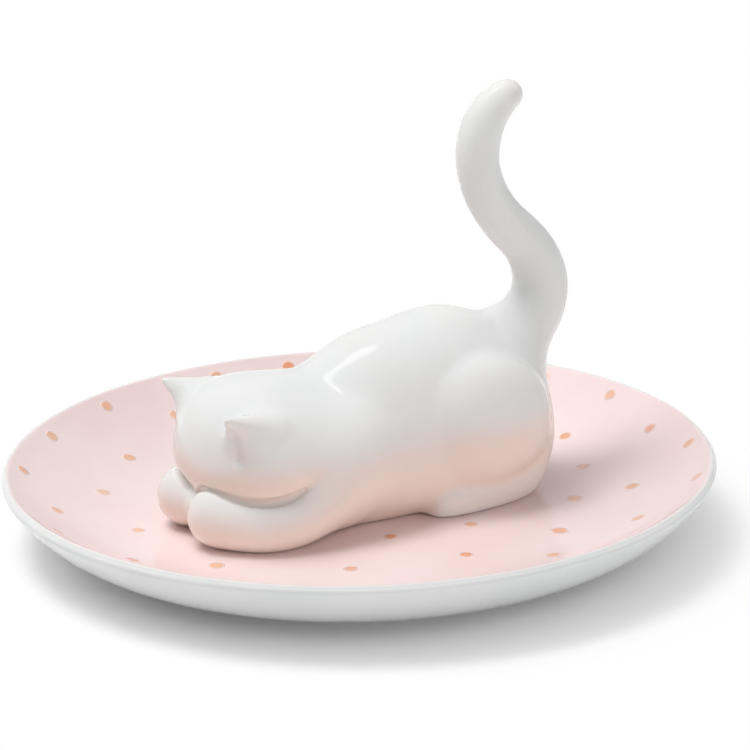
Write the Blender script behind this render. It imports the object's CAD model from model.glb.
import itertools
import math

import bmesh
import bpy
import numpy as np
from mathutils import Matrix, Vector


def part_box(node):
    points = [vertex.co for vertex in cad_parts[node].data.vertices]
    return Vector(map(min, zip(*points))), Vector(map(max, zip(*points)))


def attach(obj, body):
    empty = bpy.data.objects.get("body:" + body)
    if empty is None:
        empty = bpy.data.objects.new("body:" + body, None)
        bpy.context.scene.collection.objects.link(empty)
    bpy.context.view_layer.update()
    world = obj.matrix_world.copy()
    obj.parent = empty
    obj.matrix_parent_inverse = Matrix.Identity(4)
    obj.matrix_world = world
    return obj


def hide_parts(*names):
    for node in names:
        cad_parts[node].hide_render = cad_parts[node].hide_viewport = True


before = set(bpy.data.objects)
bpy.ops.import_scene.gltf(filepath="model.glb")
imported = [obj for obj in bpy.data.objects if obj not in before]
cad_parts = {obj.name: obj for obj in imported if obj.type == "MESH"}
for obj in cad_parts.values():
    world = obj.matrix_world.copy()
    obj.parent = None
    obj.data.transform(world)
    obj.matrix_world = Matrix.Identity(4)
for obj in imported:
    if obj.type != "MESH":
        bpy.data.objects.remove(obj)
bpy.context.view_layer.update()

import openvdb
from mathutils import Matrix, Vector

# Ring dish: a glazed dish with a pink lining and enamel dots, and a white cat with its tail raised.
# Objects are in metres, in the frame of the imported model. Lengths here are in millimetres, or in metres
# where they are multiplied by MM or say so.

MM = 0.001
TINY = 1e-9

# Dish: its sizes repeat those of the part. The lining ends at an angle on the lip, in degrees, and thins
# out over the last stretch of it to a share of its thickness.
DISH_RADIUS = 65.0
DISH_HEIGHT = 13.8
DISH_WALL = 3.2
DISH_FLOOR_RADIUS = 40.0
LIP_THICKNESS = 1.6
FOOT_RING_RADIUS = 44.5
FOOT_RING_WIDTH = 3.0
FOOT_RING_HEIGHT = 1.6
FOOT_ROUNDING = 0.6
FOOT_SEAM = 0.05
LINING_THICKNESS = 0.3
LINING_LIP_TURN = 75.0
LINING_FEATHER = 40.0
LINING_EDGE_SHARE = 0.02
VENT_X = 13.4
VENT_RADIUS = 2.0
VENT_DEPTH = 18.0
SHARP_ANGLE = math.radians(50)

# How many steps the round and flat stretches of the dish are divided into.
ROUND_STEPS = 288
ARC_STEPS = 28
FLOOR_STEPS = 20
UNDER_STEPS = 12
CORNER_STEPS = 6
VENT_STEPS = 48

CLAY_FLOOR_Z = FOOT_RING_HEIGHT + DISH_WALL
FLOOR_Z = CLAY_FLOOR_Z + LINING_THICKNESS
LIP_RADIUS = LIP_THICKNESS / 2
LIP_X = DISH_RADIUS - LIP_RADIUS
LIP_Z = DISH_HEIGHT - LIP_RADIUS
INNER_RUN = LIP_X - DISH_FLOOR_RADIUS
OUTER_RUN = LIP_X - FOOT_RING_RADIUS
INNER_RISE = LIP_Z - CLAY_FLOOR_Z
OUTER_RISE = LIP_Z - FOOT_RING_HEIGHT
INNER_ARC = (INNER_RUN ** 2 + INNER_RISE ** 2 - LIP_RADIUS ** 2) / (2 * (INNER_RISE + LIP_RADIUS))
OUTER_ARC = (OUTER_RUN ** 2 + OUTER_RISE ** 2 - LIP_RADIUS ** 2) / (2 * (OUTER_RISE - LIP_RADIUS))
INNER_END = math.asin(INNER_RUN / (INNER_ARC + LIP_RADIUS))
OUTER_END = math.asin(OUTER_RUN / (OUTER_ARC - LIP_RADIUS))
LINING_END = math.radians(LINING_LIP_TURN) - INNER_END
LINING_FULL_END = math.radians(LINING_LIP_TURN - LINING_FEATHER) - INNER_END

# Dots: each is drawn a little larger or smaller, wavier, paler or pinker than the next. Paint covers a dot
# fully out to a share of its radius.
DOT_THICKNESS = 0.1
DOT_LIFT = 0.004
DOT_SUNK = 0.05
DOT_DOME_POWER = 4
DOT_SOLID_SHARE = 0.62
DOT_SIZES = (0.97, 1.04)
DOT_WAVES = (2, 3, 4, 5)
DOT_WAVE_DEPTH = 0.1
DOT_SHADE_POWER = 0.6
DOT_BLUSHES = (-1.2, 0.8)
DOT_RINGS = 7
DOT_SPOKES = 40
DOT_SEED = 11
WELD_GAP = 1e-6
SORT_DIGITS = 5

# Cat: the grid on which its glazed skin is formed, with its band and margin in cells, and how far the glaze
# fills each kind of crease. Blurs are in cells too.
VOXEL = 0.4 * MM
BAND = 26
PAD = 6
NECK_FILL = 6.4 * MM
EAR_FILL = 2.8 * MM
SHOULDER_FILL = 7.0 * MM
HAUNCH_FILL = 1.5 * MM
HAUNCH_BLUR = 3.0
TAIL_FILL = 5.0 * MM
CHIN_FILL = 0.7 * MM
SKIN_BLUR = 1.1
SKIN_ROUNDS = 3
RELAX_ROUNDS = 2
SETTLE_ROUNDS = 2

# The groove where the chin rests on the forelegs: its radius, the height above which it dies away and over
# how much. It stays where enough open air lies about it.
GROOVE_RADIUS = 1.1 * MM
GROOVE_TOP = 14.5 * MM
GROOVE_FADE = 6.0 * MM
GROOVE_AIR = 0.12
GROOVE_AIR_BLUR = 3.0
GROOVE_AIR_DEPTH = 10.0 * MM

# The glaze is warmer low on the body, the more so the more it faces down, up to this height and fading over
# this much. It is thinner, and breaks to another white, on sharp ridges.
WARM_TOP = 25.0
WARM_FADE = 6.0
WARM_LEVEL = 0.60
WARM_TURN = 0.75
WARM_MOST = 0.75
RIDGE_BLUR = 5.0
RIDGE_SPAN = (0.5, 1.0)

# Glaze and enamel: sizes of the patches and waves in them, and the spans of noise that show.
GLAZE_IOR = 1.6
GLAZE_ROUGHNESS = (0.05, 0.10)
ROUGH_PATCH = 6.0
ROUGH_SPAN = (0.3, 0.7)
WAVE_SIZE = 9.0
WAVE_DEPTH = 0.05
PEEL_SIZE = 1.6
PEEL_DEPTH = 0.004
WHITE_PATCH = 18.0
PINK_PATCH = 22.0
PATCH_SPAN = (0.35, 0.65)
PINK_EDGE = (63.3 * MM, 64.6 * MM)
PINK_EDGE_PATCH = 12.0
PINK_EDGE_WANDER = 1.0 * MM
ENAMEL_PATCH = 0.8
ENAMEL_WANDER = 0.5
ENAMEL_SPAN = (0.1, 0.9)

# Floor: it turns to plain white between two distances from the middle of the dish, in metres.
FLOOR_TONE = 0.90
FLOOR_LIFT = 0.08
FLOOR_FADE = (0.049, 0.085)
FLOOR_HALF = 1.5
FLOOR_DROP = 0.05 * MM
AMBIENT = 0.12

# The camera looks from the front left of the cat. Its roll and length were fitted to the rim of the dish.
VIEW_AZIMUTH = math.radians(-27.0)
VIEW_ELEVATION = math.radians(18.1155)
VIEW_ROLL = math.radians(-1.3144)
VIEW_DISTANCE = 0.650
VIEW_TARGET = Vector((0.00293, -0.00149, 0.02975))
VIEW_LENS = 172.36
SENSOR_WIDTH = 36.0
CLIP_START = 0.01

# Ways in which the lamps stand off, as the camera sees them.
LEFT = Vector((-0.891, 0.454, 0))
AWAY = Vector((0.454, 0.891, 0))
UP = Vector((0, 0, 1))
LAMP_DISTANCE = 0.9
LAMP_AIM = Vector((0, 0, 0.02))

# Lamps: name, the way each stands off, its width and depth in metres, and its power in watts.
LAMPS = (
    ("key", LEFT * 0.40 + UP, 0.35, 0.35, 2.8),
    ("softbox", LEFT * 0.36 + UP, 0.80, 0.80, 2.4),
    ("strip", LEFT * 0.20 + AWAY * 0.19 + UP, 0.42, 0.22, 0.42),
    ("back_softbox", LEFT * 0.18 + AWAY * 0.32 + UP, 0.75, 0.75, 1.4),
    ("front_fill", LEFT * -0.5 + AWAY * -0.85 + UP * 0.32, 1.0, 1.0, 2.9),
    ("right_fill", LEFT * -1.0 + UP * 0.32, 0.8, 0.8, 0.9),
    ("left_fill", LEFT * 0.9 + AWAY * 0.4 + UP * 0.32, 0.8, 0.8, 1.3),
)
# The one lamp that shows in the glaze, as a long highlight.
GLINTING_LAMP = "strip"


# Meshes


def new_object(name, points, faces):
    """Smooth-shaded mesh object from points and faces, with its faces turned outward."""
    mesh = bpy.data.meshes.new(name)
    mesh.from_pydata([tuple(p) for p in points], [], [tuple(f) for f in faces])
    made = bmesh.new()
    made.from_mesh(mesh)
    bmesh.ops.recalc_face_normals(made, faces=made.faces)
    made.to_mesh(mesh)
    made.free()
    mesh.shade_smooth()
    thing = bpy.data.objects.new(name, mesh)
    bpy.context.scene.collection.objects.link(thing)
    return thing


def set_layers(thing, layers):
    """Keeps values for each point of a piece, for its material to read."""
    for name, values in layers.items():
        layer = thing.data.attributes.new(name, "FLOAT", "POINT")
        layer.data.foreach_set("value", np.asarray(values, np.float32))


def lathe(name, outline):
    """Solid of revolution about Z. The outline, in millimetres, is open at the axis at both ends."""
    points, rings = [], []
    for r, z in outline:
        count = ROUND_STEPS if r > TINY else 1
        rings.append((len(points), count))
        for i in range(count):
            angle = 2 * math.pi * i / ROUND_STEPS
            points.append((r * MM * math.cos(angle), r * MM * math.sin(angle), z * MM))
    faces = []
    for (a, count_a), (b, count_b) in zip(rings, rings[1:]):
        for i in range(ROUND_STEPS):
            j = (i + 1) % ROUND_STEPS
            corners = [a + i % count_a, a + j % count_a, b + j % count_b, b + i % count_b]
            faces.append(list(dict.fromkeys(corners)))
    return new_object(name, points, faces)


def cut_vent(thing):
    """Takes the vent's hole out of a piece."""
    made = bmesh.new()
    place = Matrix.Translation((VENT_X * MM, 0, 0))
    bmesh.ops.create_cone(
        made, cap_ends=True, segments=VENT_STEPS, radius1=VENT_RADIUS * MM, radius2=VENT_RADIUS * MM,
        depth=VENT_DEPTH * MM, matrix=place,
    )
    mesh = bpy.data.meshes.new("vent")
    made.to_mesh(mesh)
    made.free()
    cutter = bpy.data.objects.new("vent", mesh)
    bpy.context.scene.collection.objects.link(cutter)
    cut = thing.modifiers.new("vent", "BOOLEAN")
    cut.operation = "DIFFERENCE"
    cut.solver = "EXACT"
    cut.object = cutter
    bpy.context.view_layer.update()
    shape = thing.evaluated_get(bpy.context.evaluated_depsgraph_get())
    result = bpy.data.meshes.new_from_object(shape)
    thing.modifiers.clear()
    old, thing.data = thing.data, result
    result.name = thing.name
    bpy.data.meshes.remove(old)
    bpy.data.objects.remove(cutter)
    bpy.data.meshes.remove(mesh)
    thing.data.set_sharp_from_angle(angle=SHARP_ANGLE)


# Dish


def on_arc(centre_x, centre_z, radius, angle):
    """Point on an arc of the side, at an angle up from its level start."""
    return centre_x + radius * math.sin(angle), centre_z - radius * math.cos(angle)


def on_inner(height, angle):
    """Point at a height above the dish's inner side."""
    return on_arc(DISH_FLOOR_RADIUS, CLAY_FLOOR_Z + INNER_ARC, INNER_ARC - height, angle)


def on_outer(angle):
    """Point on the dish's outer side."""
    return on_arc(FOOT_RING_RADIUS, FOOT_RING_HEIGHT + OUTER_ARC, OUTER_ARC, angle)


def on_lip(radius, angle):
    """Point about the lip's centre, at an angle from straight up towards the outside."""
    return LIP_X + radius * math.sin(angle), LIP_Z + radius * math.cos(angle)


def along(place, start, end):
    """Points from one angle to another."""
    return [place(start + (end - start) * i / ARC_STEPS) for i in range(ARC_STEPS + 1)]


def flat_floor(height):
    """Points from the axis out to where the side starts to rise."""
    return [(DISH_FLOOR_RADIUS * i / FLOOR_STEPS, height) for i in range(FLOOR_STEPS)]


def corner(point, before, after, radius):
    """Rounded corner of an outline whose sides there run along the axes."""
    px, pz = point
    bx, bz = np.sign(before[0] - px), np.sign(before[1] - pz)
    ax, az = np.sign(after[0] - px), np.sign(after[1] - pz)
    cx, cz = px + (bx + ax) * radius, pz + (bz + az) * radius
    points = []
    for i in range(CORNER_STEPS + 1):
        turn = math.pi / 2 * i / CORNER_STEPS
        x = cx - radius * (ax * math.cos(turn) + bx * math.sin(turn))
        z = cz - radius * (az * math.cos(turn) + bz * math.sin(turn))
        points.append((x, z))
    return points


def make_dish():
    """White body: floor, side, round lip, and a foot ring with rounded edges."""
    floor = flat_floor(CLAY_FLOOR_Z)
    side = along(lambda a: on_inner(0, a), 0, INNER_END)
    lip = along(lambda a: on_lip(LIP_RADIUS, a), -INNER_END, math.pi - OUTER_END)
    outside = along(on_outer, OUTER_END, 0)
    foot_out, foot_in = FOOT_RING_RADIUS, FOOT_RING_RADIUS - FOOT_RING_WIDTH
    step = FOOT_ROUNDING
    foot = corner((foot_out, FOOT_RING_HEIGHT), (foot_out + 1, FOOT_RING_HEIGHT), (foot_out, 0), step)
    foot += corner((foot_out, 0), (foot_out, 1), (foot_out - 1, 0), step)
    foot += corner((foot_in, 0), (foot_in + 1, 0), (foot_in, 1), step)
    foot += corner((foot_in, FOOT_RING_HEIGHT), (foot_in, 0), (foot_in - 1, FOOT_RING_HEIGHT), step)
    under = [(foot_in * (1 - i / UNDER_STEPS), FOOT_RING_HEIGHT) for i in range(1, UNDER_STEPS + 1)]
    # The side stops just short of the rounded corner where it meets the foot ring.
    outside = [p for p in outside if p[0] > foot_out + step + FOOT_SEAM]
    dish = lathe("dish_body", floor + side + lip[1:] + outside[1:] + foot + under)
    cut_vent(dish)
    return dish


def lining_height(angle):
    """Thickness of the pink glaze on the lip, which runs out over the feathered stretch."""
    share = min(max((LINING_END - angle) / (LINING_END - LINING_FULL_END), 0), 1)
    eased = share * share * (3 - 2 * share)
    return LINING_THICKNESS * (LINING_EDGE_SHARE + (1 - LINING_EDGE_SHARE) * eased)


def make_lining():
    """Pink glaze over the floor and side of the dish and part of its lip."""
    floor = flat_floor(FLOOR_Z)
    side = along(lambda a: on_inner(LINING_THICKNESS, a), 0, INNER_END)
    lip = along(lambda a: on_lip(LIP_RADIUS + lining_height(a), a), -INNER_END, LINING_END)
    under_lip = along(lambda a: on_lip(LIP_RADIUS, a), LINING_END, -INNER_END)
    under_side = along(lambda a: on_inner(0, a), INNER_END, 0)
    under = flat_floor(CLAY_FLOOR_Z)[::-1]
    lining = lathe("pink_lining", floor + side + lip[1:] + under_lip + under_side[1:] + under)
    cut_vent(lining)
    return lining


def lining_point(x, y, height):
    """Point at a height above the lining, square to it, over a place in plan. Millimetres."""
    radius = math.hypot(x, y)
    slope = 0.0
    base = FLOOR_Z
    if radius > DISH_FLOOR_RADIUS:
        slope = math.asin((radius - DISH_FLOOR_RADIUS) / (INNER_ARC - LINING_THICKNESS))
        base = on_inner(LINING_THICKNESS, slope)[1]
    inward = -math.sin(slope) * height / max(radius, TINY)
    return x * (1 + inward), y * (1 + inward), base + math.cos(slope) * height


def loose_parts(thing):
    """Points of each separate solid of a mesh."""
    made = bmesh.new()
    made.from_mesh(thing.data)
    bmesh.ops.remove_doubles(made, verts=made.verts, dist=WELD_GAP)
    left = set(made.verts)
    parts = []
    while left:
        edge = [left.pop()]
        found = list(edge)
        while edge:
            vert = edge.pop()
            for link in vert.link_edges:
                other = link.other_vert(vert)
                if other in left:
                    left.discard(other)
                    edge.append(other)
                    found.append(other)
        parts.append(np.array([v.co for v in found]))
    made.free()
    return sorted(parts, key=lambda p: tuple(np.round(p.mean(0), SORT_DIGITS)))


def dot_points(middle, reach, waves):
    """Points of a dot, from its middle out and then its sunk edge, and how far paint covers each."""
    outward = Vector((middle[0], middle[1], 0)).normalized()
    radius = math.hypot(middle[0], middle[1])
    slope = math.asin(max(radius - DISH_FLOOR_RADIUS, 0) / INNER_ARC)
    points = [Vector(lining_point(middle[0], middle[1], DOT_THICKNESS)) * MM]
    tints = [1.0]
    for ring in range(1, DOT_RINGS + 1):
        share = ring / DOT_RINGS
        dome = math.sqrt(max(1 - share ** DOT_DOME_POWER, 0))
        for spoke in range(DOT_SPOKES):
            angle = 2 * math.pi * spoke / DOT_SPOKES
            wobble = 1 + sum(depth * math.cos(n * angle + phase) for n, depth, phase in waves)
            reach_here = reach * share * wobble
            out = reach_here * math.cos(angle) * math.cos(slope)
            side = reach_here * math.sin(angle)
            x = middle[0] + outward.x * out - outward.y * side
            y = middle[1] + outward.y * out + outward.x * side
            points.append(Vector(lining_point(x, y, DOT_LIFT + DOT_THICKNESS * dome)) * MM)
            tints.append(1 - max(share - DOT_SOLID_SHARE, 0) / (1 - DOT_SOLID_SHARE))
    for x, y, _ in points[-DOT_SPOKES:]:
        points.append(Vector(lining_point(x / MM, y / MM, -DOT_SUNK)) * MM)
        tints.append(0.0)
    return points, tints


def dot_faces(first):
    """Top, edge and underside of a dot whose points start at this place in the list."""
    rim = first + 1 + (DOT_RINGS - 1) * DOT_SPOKES
    base = rim + DOT_SPOKES
    top, edge = [], []
    for spoke in range(DOT_SPOKES):
        after = (spoke + 1) % DOT_SPOKES
        top.append((first, first + 1 + spoke, first + 1 + after))
        for ring in range(DOT_RINGS - 1):
            low = first + 1 + ring * DOT_SPOKES
            high = low + DOT_SPOKES
            top.append((low + spoke, high + spoke, high + after, low + after))
        edge.append((rim + spoke, base + spoke, base + after, rim + after))
    underside = [base + spoke for spoke in reversed(range(DOT_SPOKES))]
    return top + edge + [underside]


def make_dots():
    """Thin enamel dots, domed and feathered at the edge, each a little uneven as brushed by hand."""
    rng = np.random.default_rng(DOT_SEED)
    points, faces, tints, shades, blushes = [], [], [], [], []
    for part in loose_parts(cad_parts["dish_dots"]):
        middle = part.mean(0) / MM
        reach = np.linalg.norm(part / MM - middle, axis=1).max() * rng.uniform(*DOT_SIZES)
        waves = [(n, rng.uniform(0, DOT_WAVE_DEPTH) / n, rng.uniform(0, 2 * math.pi)) for n in DOT_WAVES]
        shade = rng.uniform(0, 1) ** DOT_SHADE_POWER
        blush = max(rng.uniform(*DOT_BLUSHES), 0.0)
        dot, paint = dot_points(middle, reach, waves)
        faces += dot_faces(len(points))
        points += dot
        tints += paint
        shades += [shade] * len(dot)
        blushes += [blush] * len(dot)
    dots = new_object("enamel_dots", points, faces)
    set_layers(dots, {"tint": tints, "shade": shades, "blush": blushes})
    return dots


# Cat


def node_mesh(name):
    """Points and triangles of a node."""
    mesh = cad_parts[name].data
    mesh.calc_loop_triangles()
    points = np.empty(len(mesh.vertices) * 3, np.float32)
    mesh.vertices.foreach_get("co", points)
    corners = np.empty(len(mesh.loop_triangles) * 3, np.int32)
    mesh.loop_triangles.foreach_get("vertices", corners)
    return points.reshape(-1, 3), corners.reshape(-1, 3).astype(np.uint32)


def grid_box(names):
    """First cell and size of a grid that holds these nodes."""
    boxes = [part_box(name) for name in names]
    low = np.min([b[0] for b in boxes], axis=0) / VOXEL
    high = np.max([b[1] for b in boxes], axis=0) / VOXEL
    first = np.floor(low).astype(int) - PAD
    return first, np.ceil(high).astype(int) + PAD + 1 - first


def distances(name, first, size):
    """Signed distance from a node's surface on the grid, below zero inside."""
    points, triangles = node_mesh(name)
    place = openvdb.createLinearTransform(VOXEL)
    grid = openvdb.FloatGrid.createLevelSetFromPolygons(
        points, triangles=triangles, transform=place, halfWidth=BAND,
    )
    field = np.empty(tuple(size), np.float32)
    grid.copyToArray(field, ijk=tuple(int(i) for i in first))
    return field


def filled(field):
    """A hollow form made solid: whatever lies between its outer walls, from side to side, is inside."""
    inside = field < 0
    before = np.maximum.accumulate(inside, axis=1)
    after = np.maximum.accumulate(inside[:, ::-1], axis=1)[:, ::-1]
    hollow = before & after & ~inside
    wall = np.abs(field)
    return np.where(hollow, -np.maximum(wall, VOXEL), field)


def joined(a, b, fill):
    """Union of two forms with the crease between them filled."""
    near = np.maximum(fill - np.abs(a - b), 0) / fill
    return np.minimum(a, b) - near * near * fill / 4


def blurred(field, spread):
    """Gaussian blur, with the spread in cells."""
    reach = int(math.ceil(3 * spread))
    weights = np.exp(-0.5 * (np.arange(-reach, reach + 1) / spread) ** 2)
    weights /= weights.sum()
    for axis in range(3):
        padding = [(reach, reach) if i == axis else (0, 0) for i in range(3)]
        padded = np.pad(field, padding, mode="edge")
        total = np.zeros_like(field)
        for k, weight in enumerate(weights):
            part = [slice(None)] * 3
            part[axis] = slice(k, k + field.shape[axis])
            total += np.float32(weight) * padded[tuple(part)]
        field = total
    return field


def sampled(field, cells):
    """Values of a grid between its cells."""
    base = np.clip(np.floor(cells).astype(int), 0, np.array(field.shape) - 2)
    part = cells - base
    total = np.zeros(len(cells))
    for step in itertools.product((0, 1), repeat=3):
        weight = np.prod(np.where(step, part, 1 - part), axis=1)
        total += weight * field[tuple((base + step).T)]
    return total


def relaxed(points, faces, rounds):
    """Points evened out among their neighbours."""
    edges = np.vstack([faces[:, [i, (i + 1) % 4]] for i in range(4)])
    edges = np.unique(np.sort(edges, axis=1), axis=0)
    count = np.bincount(edges.ravel(), minlength=len(points))[:, None]
    for _ in range(rounds):
        total = np.zeros_like(points)
        np.add.at(total, edges[:, 0], points[edges[:, 1]])
        np.add.at(total, edges[:, 1], points[edges[:, 0]])
        points = 0.5 * points + 0.5 * total / count
    return points


def cat_form(names):
    """Signed distance from the cat's skin on a grid, and the grid's first cell."""
    first, size = grid_box(names)
    body = filled(distances("cat_torso", first, size))
    skull = filled(distances("cat_head", first, size))
    head = skull
    groove = np.full(tuple(size), np.inf, np.float32)
    for side in ("left", "right"):
        head = joined(head, distances("cat_" + side + "_ear", first, size), EAR_FILL)
        foreleg = distances("cat_" + side + "_foreleg", first, size)
        groove = np.minimum(groove, np.hypot(skull, foreleg) - GROOVE_RADIUS)
        body = joined(body, foreleg, SHOULDER_FILL)
        hind_leg = distances("cat_" + side + "_hind_leg", first, size)
        hind_leg = np.minimum(hind_leg, blurred(hind_leg, HAUNCH_BLUR))
        body = joined(body, hind_leg, HAUNCH_FILL)
    body = joined(body, distances("cat_tail", first, size), TAIL_FILL)

    # The crease between head and body is sharp under the chin and filled above it.
    x, y, z = ((np.arange(n) + f) * VOXEL for n, f in zip(size, first))
    above_chin = np.clip((z - GROOVE_TOP) / GROOVE_FADE, 0, 1)
    form = joined(body, head, CHIN_FILL)
    form = form + above_chin * (joined(body, head, NECK_FILL) - form)
    air = blurred((form > 0).astype(np.float32), GROOVE_AIR_BLUR)
    groove = groove + GROOVE_RADIUS * above_chin
    groove = np.maximum(groove, (GROOVE_AIR - air) * GROOVE_AIR_DEPTH)
    form = np.maximum(form, -groove)

    # The skin stops at the lining, and the vent runs up into it.
    form = np.maximum(form, (FLOOR_Z * MM - z)[None, None, :])
    form = blurred(form.astype(np.float32), SKIN_BLUR)
    hole = np.hypot(x[:, None, None] - VENT_X * MM, y[None, :, None]) - VENT_RADIUS * MM
    hole = np.maximum(hole, z[None, None, :] - VENT_DEPTH * MM)
    return np.maximum(form, -hole).astype(np.float32), first


def skin(form, first):
    """Even quads on the surface of a form, and the way each point faces."""
    grid = openvdb.FloatGrid(float(form.max()))
    grid.copyFromArray(form, ijk=tuple(int(i) for i in first))
    grid.transform = openvdb.createLinearTransform(VOXEL)
    points, faces = grid.convertToQuads()
    points = points.astype(float)
    slopes = np.gradient(form)
    for _ in range(SKIN_ROUNDS):
        points = relaxed(points, faces, RELAX_ROUNDS)
        for _ in range(SETTLE_ROUNDS):
            cells = points / VOXEL - first
            normal = np.stack([sampled(s, cells) for s in slopes], axis=1)
            normal /= np.maximum(np.linalg.norm(normal, axis=1, keepdims=True), TINY)
            points -= normal * np.clip(sampled(form, cells), -VOXEL, VOXEL)[:, None]
    return points, faces, normal


def make_cat(names):
    """One glazed skin over the luted pieces of the cat."""
    form, first = cat_form(names)
    points, faces, normal = skin(form, first)
    cat = new_object("cat_glaze", points, faces)
    ridge = sampled(blurred(form, RIDGE_BLUR) - form, points / VOXEL - first) / MM
    low = np.clip((WARM_TOP * MM - points[:, 2]) / (WARM_FADE * MM), 0, 1)
    warmth = low * np.clip(WARM_LEVEL - WARM_TURN * normal[:, 2], 0, WARM_MOST)
    set_layers(cat, {"ridge": ridge, "warmth": warmth})
    return cat


# Materials


class Nodes:
    """A material's node tree, with short calls to add nodes and links."""

    def __init__(self, name):
        self.material = bpy.data.materials.new(name)
        self.material.use_nodes = True
        self.tree = self.material.node_tree
        self.tree.nodes.clear()
        self.place = self.add("ShaderNodeTexCoord").outputs["Object"]

    def add(self, kind, **settings):
        node = self.tree.nodes.new(kind)
        for name, value in settings.items():
            setattr(node, name, value)
        return node

    def link(self, source, target):
        self.tree.links.new(source, target)

    def set(self, socket, value):
        """Gives a socket a link or a plain value."""
        if isinstance(value, bpy.types.NodeSocket):
            self.link(value, socket)
        else:
            socket.default_value = value

    def math(self, operation, a, b=0.0):
        """Result of one operation on links or plain values."""
        node = self.add("ShaderNodeMath", operation=operation)
        self.set(node.inputs[0], a)
        self.set(node.inputs[1], b)
        return node.outputs[0]

    def noise(self, size, detail):
        """Noise with features of a size in millimetres."""
        node = self.add("ShaderNodeTexNoise")
        self.link(self.place, node.inputs["Vector"])
        node.inputs["Scale"].default_value = 1 / (size * MM)
        node.inputs["Detail"].default_value = detail
        return node.outputs["Fac"]

    def span(self, value, low, high, to_low=0.0, to_high=1.0, smooth=False):
        """Value stretched from one span to another, and held at its ends."""
        node = self.add("ShaderNodeMapRange")
        node.interpolation_type = "SMOOTHSTEP" if smooth else "LINEAR"
        self.link(value, node.inputs["Value"])
        node.inputs["From Min"].default_value = low
        node.inputs["From Max"].default_value = high
        node.inputs["To Min"].default_value = to_low
        node.inputs["To Max"].default_value = to_high
        return node.outputs["Result"]

    def mix(self, share, a, b):
        """Colour that goes from one to another as the share grows. Its colour sockets come last."""
        node = self.add("ShaderNodeMix", data_type="RGBA")
        self.set(node.inputs[0], share)
        self.set(node.inputs[6], a)
        self.set(node.inputs[7], b)
        return node.outputs[2]

    def attribute(self, name):
        """Value kept on the mesh, or zero where it has none."""
        return self.add("ShaderNodeAttribute", attribute_name=name).outputs["Fac"]

    def bump(self, height, depth, normal=None):
        """Bump whose height runs over a depth in millimetres."""
        node = self.add("ShaderNodeBump")
        node.inputs["Strength"].default_value = 1.0
        node.inputs["Distance"].default_value = depth * MM
        self.link(height, node.inputs["Height"])
        if normal is not None:
            self.link(normal, node.inputs["Normal"])
        return node.outputs["Normal"]

    def glaze(self, colour, roughness, normal):
        """Finished material of glossy glaze."""
        shader = self.add("ShaderNodeBsdfPrincipled")
        self.set(shader.inputs["Base Color"], colour)
        self.set(shader.inputs["Roughness"], roughness)
        self.link(normal, shader.inputs["Normal"])
        shader.inputs["IOR"].default_value = GLAZE_IOR
        output = self.add("ShaderNodeOutputMaterial")
        self.link(shader.outputs[0], output.inputs["Surface"])
        return self.material


def colour(red, green, blue):
    """Colour written as it shows on screen, 0 to 255."""

    def linear(value):
        value /= 255
        return value / 12.92 if value <= 0.04045 else ((value + 0.055) / 1.055) ** 2.4

    return linear(red), linear(green), linear(blue), 1.0


def glaze_surface(n):
    """The faint waviness of fired glaze, and a roughness that varies with it."""
    waves = n.bump(n.noise(WAVE_SIZE, detail=1.0), WAVE_DEPTH)
    peel = n.bump(n.noise(PEEL_SIZE, detail=2.0), PEEL_DEPTH, waves)
    return peel, n.span(n.noise(ROUGH_PATCH, detail=3.0), *ROUGH_SPAN, *GLAZE_ROUGHNESS)


WHITE = colour(240, 241, 240)
WHITE_THICK = colour(236, 238, 237)
WHITE_THIN = colour(242, 240, 236)
WHITE_WARM = colour(248, 224, 209)
PINK = colour(250, 231, 230)
PINK_DEEP = colour(247, 224, 223)
ORANGE = colour(238, 156, 110)
ORANGE_PALE = colour(242, 196, 164)
SALMON = colour(240, 184, 174)


def white_glaze():
    """White glaze of the dish and the cat. The dish has no warmth or ridge, so there both are zero."""
    n = Nodes("white_glaze")
    tone = n.mix(n.span(n.noise(WHITE_PATCH, detail=3.0), *PATCH_SPAN), WHITE, WHITE_THICK)
    tone = n.mix(n.attribute("warmth"), tone, WHITE_WARM)
    tone = n.mix(n.span(n.attribute("ridge"), *RIDGE_SPAN), tone, WHITE_THIN)
    normal, roughness = glaze_surface(n)
    return n.glaze(tone, roughness, normal)


def radius_of(n):
    """Distance from the axis of the dish, in metres."""
    parts = n.add("ShaderNodeSeparateXYZ")
    n.link(n.place, parts.inputs[0])
    square = n.math("ADD", n.math("POWER", parts.outputs[0], 2.0), n.math("POWER", parts.outputs[1], 2.0))
    return n.math("SQRT", square)


def pink_tone(n):
    """Pink that varies a little with the glaze's thickness and breaks to white over the lip."""
    tone = n.mix(n.span(n.noise(PINK_PATCH, detail=3.0), *PATCH_SPAN), PINK, PINK_DEEP)
    uneven = n.math("SUBTRACT", n.noise(PINK_EDGE_PATCH, detail=2.0), 0.5)
    edge = n.math("ADD", radius_of(n), n.math("MULTIPLY", uneven, PINK_EDGE_WANDER))
    return n.mix(n.span(edge, *PINK_EDGE, smooth=True), tone, WHITE)


def pink_glaze():
    """Pink glaze of the lining."""
    n = Nodes("pink_glaze")
    normal, roughness = glaze_surface(n)
    return n.glaze(pink_tone(n), roughness, normal)


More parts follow.
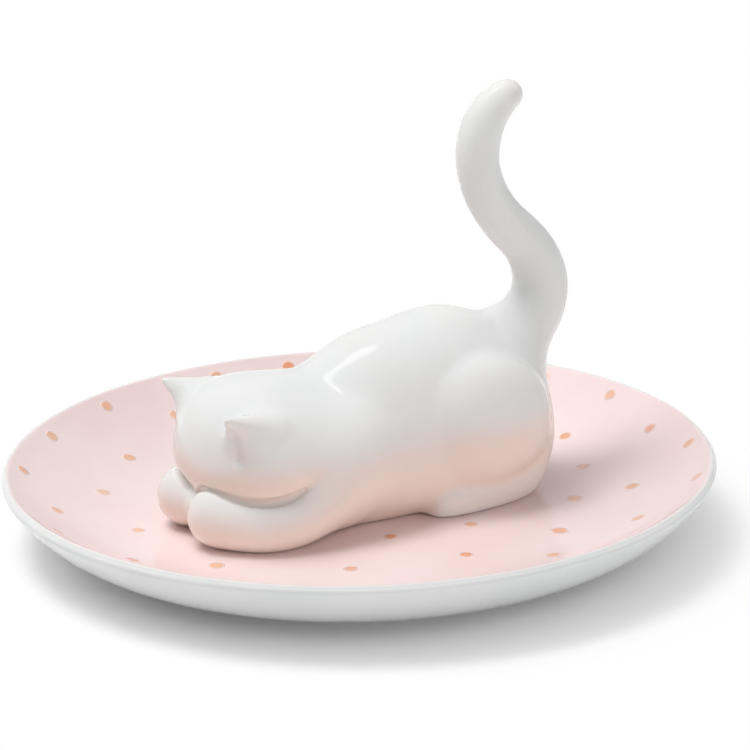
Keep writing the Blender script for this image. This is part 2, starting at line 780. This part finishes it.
def orange_enamel():
    """Orange paint that thins out to the pink under it at a dot's edge."""
    n = Nodes("orange_enamel")
    paint = n.mix(n.attribute("shade"), ORANGE, ORANGE_PALE)
    paint = n.mix(n.attribute("blush"), paint, SALMON)
    uneven = n.math("SUBTRACT", n.noise(ENAMEL_PATCH, detail=2.0), 0.5)
    edge = n.math("ADD", n.attribute("tint"), n.math("MULTIPLY", uneven, ENAMEL_WANDER))
    cover = n.span(edge, *ENAMEL_SPAN, smooth=True)
    normal, roughness = glaze_surface(n)
    return n.glaze(n.mix(cover, pink_tone(n), paint), roughness, normal)


def dress(thing, material):
    """Gives a piece one material all over."""
    thing.data.materials.clear()
    thing.data.materials.append(material)


# Stage


def make_floor():
    """Matt floor that takes the shadow of the dish and turns to plain white further out."""
    n = Nodes("floor_white")
    path = n.add("ShaderNodeLightPath")
    seen = n.math("MAXIMUM", path.outputs["Is Camera Ray"], path.outputs["Is Glossy Ray"])
    seen = n.math("MAXIMUM", seen, path.outputs["Is Transmission Ray"])
    matt = n.add("ShaderNodeBsdfDiffuse")
    matt.inputs["Color"].default_value = (FLOOR_TONE, FLOOR_TONE, FLOOR_TONE, 1.0)
    lift = n.add("ShaderNodeEmission")
    n.link(n.math("MULTIPLY", seen, FLOOR_LIFT), lift.inputs["Strength"])
    both = n.add("ShaderNodeAddShader")
    n.link(matt.outputs[0], both.inputs[0])
    n.link(lift.outputs[0], both.inputs[1])
    plain = n.add("ShaderNodeEmission")
    far = n.math("MULTIPLY", n.span(radius_of(n), *FLOOR_FADE, smooth=True), seen)
    blend = n.add("ShaderNodeMixShader")
    n.link(far, blend.inputs[0])
    n.link(both.outputs[0], blend.inputs[1])
    n.link(plain.outputs[0], blend.inputs[2])
    output = n.add("ShaderNodeOutputMaterial")
    n.link(blend.outputs[0], output.inputs["Surface"])
    half = FLOOR_HALF
    points = [(-half, -half, 0), (half, -half, 0), (half, half, 0), (-half, half, 0)]
    floor = new_object("floor", points, [(0, 1, 2, 3)])
    floor.location.z = -FLOOR_DROP
    dress(floor, n.material)


def make_world():
    """White surroundings that add only a little light."""
    world = bpy.data.worlds.new("studio")
    bpy.context.scene.world = world
    world.use_nodes = True
    tree = world.node_tree
    tree.nodes.clear()
    path = tree.nodes.new("ShaderNodeLightPath")
    seen = path.outputs["Is Camera Ray"]
    for other in ("Is Glossy Ray", "Is Transmission Ray"):
        either = tree.nodes.new("ShaderNodeMath")
        either.operation = "MAXIMUM"
        tree.links.new(seen, either.inputs[0])
        tree.links.new(path.outputs[other], either.inputs[1])
        seen = either.outputs[0]
    strength = tree.nodes.new("ShaderNodeMapRange")
    tree.links.new(seen, strength.inputs["Value"])
    strength.inputs["To Min"].default_value = AMBIENT
    strength.inputs["To Max"].default_value = 1.0
    ground = tree.nodes.new("ShaderNodeBackground")
    tree.links.new(strength.outputs[0], ground.inputs["Strength"])
    output = tree.nodes.new("ShaderNodeOutputWorld")
    tree.links.new(ground.outputs[0], output.inputs["Surface"])


def make_lamp(name, towards, width, depth, power):
    """Soft oval lamp that faces the object from some way off."""
    lamp = bpy.data.lights.new(name, "AREA")
    lamp.shape = "ELLIPSE"
    lamp.size = width
    lamp.size_y = depth
    lamp.energy = power
    thing = bpy.data.objects.new(name, lamp)
    bpy.context.scene.collection.objects.link(thing)
    back = towards.normalized()
    side = (LEFT - back * LEFT.dot(back)).normalized()
    turn = Matrix((side, back.cross(side), back)).transposed()
    thing.matrix_world = Matrix.Translation(LAMP_AIM + back * LAMP_DISTANCE) @ turn.to_4x4()
    thing.visible_glossy = name == GLINTING_LAMP


def make_camera():
    """Camera at the photograph's viewing angle."""
    side = Vector((math.cos(VIEW_AZIMUTH), math.sin(VIEW_AZIMUTH), 0))
    back = Vector((
        math.sin(VIEW_AZIMUTH) * math.cos(VIEW_ELEVATION),
        -math.cos(VIEW_AZIMUTH) * math.cos(VIEW_ELEVATION),
        math.sin(VIEW_ELEVATION),
    ))
    up = back.cross(side)
    right = side * math.cos(VIEW_ROLL) + up * math.sin(VIEW_ROLL)
    top = up * math.cos(VIEW_ROLL) - side * math.sin(VIEW_ROLL)
    lens = bpy.data.cameras.new("camera")
    lens.lens = VIEW_LENS
    lens.sensor_width = SENSOR_WIDTH
    lens.clip_start = CLIP_START
    camera = bpy.data.objects.new("camera", lens)
    bpy.context.scene.collection.objects.link(camera)
    turn = Matrix((right, top, back)).transposed()
    camera.matrix_world = Matrix.Translation(VIEW_TARGET + back * VIEW_DISTANCE) @ turn.to_4x4()
    bpy.context.scene.camera = camera


def main():
    """Builds the pieces, sets them on the frame, and sets the stage round them."""
    white, pink, orange = white_glaze(), pink_glaze(), orange_enamel()
    cat_nodes = sorted(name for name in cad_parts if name.startswith("cat_"))
    pieces = [
        (make_dish(), white, "white_glaze", ["dish"]),
        (make_lining(), pink, "pink_glaze", ["dish_lining"]),
        (make_dots(), orange, "orange_enamel", ["dish_dots"]),
        (make_cat(cat_nodes), white, "white_glaze", cat_nodes),
    ]
    for thing, material, slot, nodes in pieces:
        dress(thing, material)
        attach(thing, "root")
        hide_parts(*nodes)
    make_floor()
    make_world()
    for lamp in LAMPS:
        make_lamp(*lamp)
    make_camera()
    bpy.context.scene.view_settings.view_transform = "Standard"


main()
